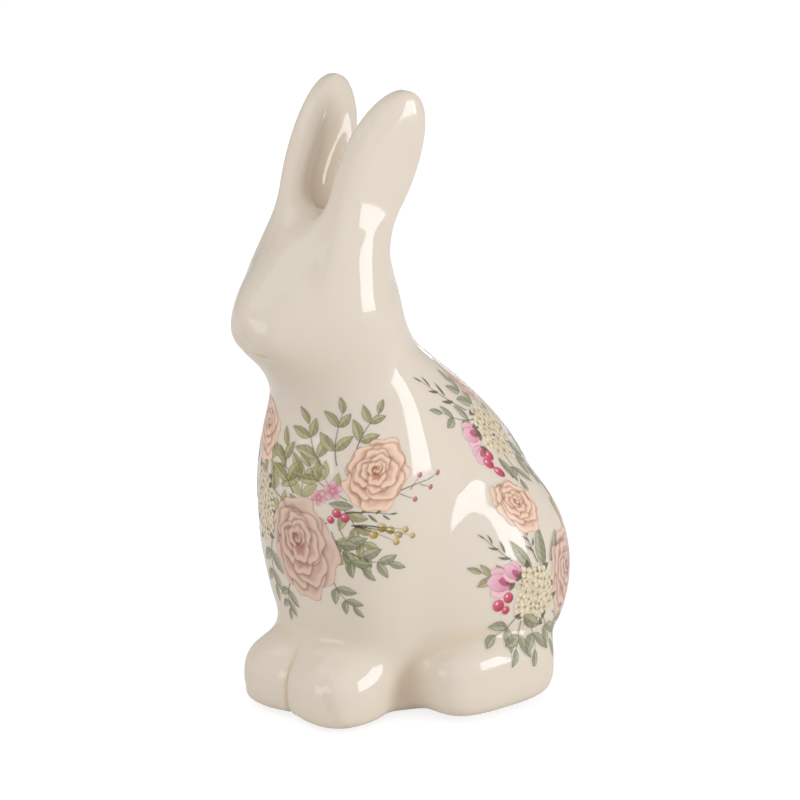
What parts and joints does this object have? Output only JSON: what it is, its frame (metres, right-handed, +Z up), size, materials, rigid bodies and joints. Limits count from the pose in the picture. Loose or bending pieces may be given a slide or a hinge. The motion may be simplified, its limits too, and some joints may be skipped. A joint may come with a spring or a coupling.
{
  "type": "ceramic rabbit figurine",
  "caption": "Sitting rabbit ornament in hollow glazed ceramic with upright ears cast apart and luted on, resting on felt pads under the paws and hind feet.",
  "frame": {"origin": "centre of the overall bounding box in X and Y, on the plane that the felt pads rest on", "axes": "+Z up, the nose towards -Y, the rabbit's left side towards +X"},
  "size_m": [0.1346, 0.1874, 0.3001],
  "materials": {
    "glazed_body": "cream glaze over earthenware, glossy",
    "felt": "pressed wool felt, matt"
  },
  "bodies": {
    "root": {"body_casting": "glazed_body", "ear_left": "glazed_body", "ear_right": "glazed_body", "pad_front_left": "felt", "pad_front_right": "felt", "pad_rear_left": "felt", "pad_rear_right": "felt"}
  },
  "joints": []
}
